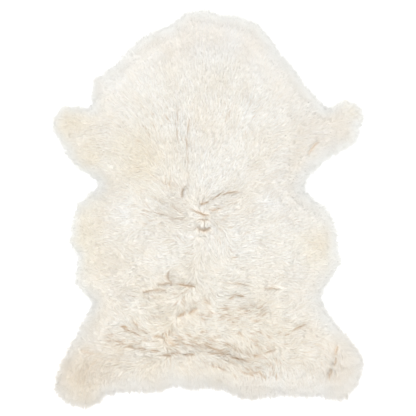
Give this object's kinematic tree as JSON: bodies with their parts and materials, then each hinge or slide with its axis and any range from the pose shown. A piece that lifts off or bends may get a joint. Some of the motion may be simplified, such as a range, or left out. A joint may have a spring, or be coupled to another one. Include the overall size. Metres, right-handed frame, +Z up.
{
  "type": "sheepskin rug",
  "caption": "Single tanned sheepskin lying flat, wool up: rounded neck, short legs, lumpy pile with soft partings, tapered locks round the edge.",
  "frame": {"origin": "middle of the rug's box, on the surface it lies on", "axes": "+Z up out of the wool, +Y from the tail to the neck, +X to the right of someone who looks down with the neck at the top"},
  "size_m": [0.7088, 0.9016, 0.0517],
  "materials": {
    "wool": "soft matt ivory wool",
    "skin": "matt tanned suede"
  },
  "bodies": {
    "root": {"sheepskin": "wool"}
  },
  "joints": []
}
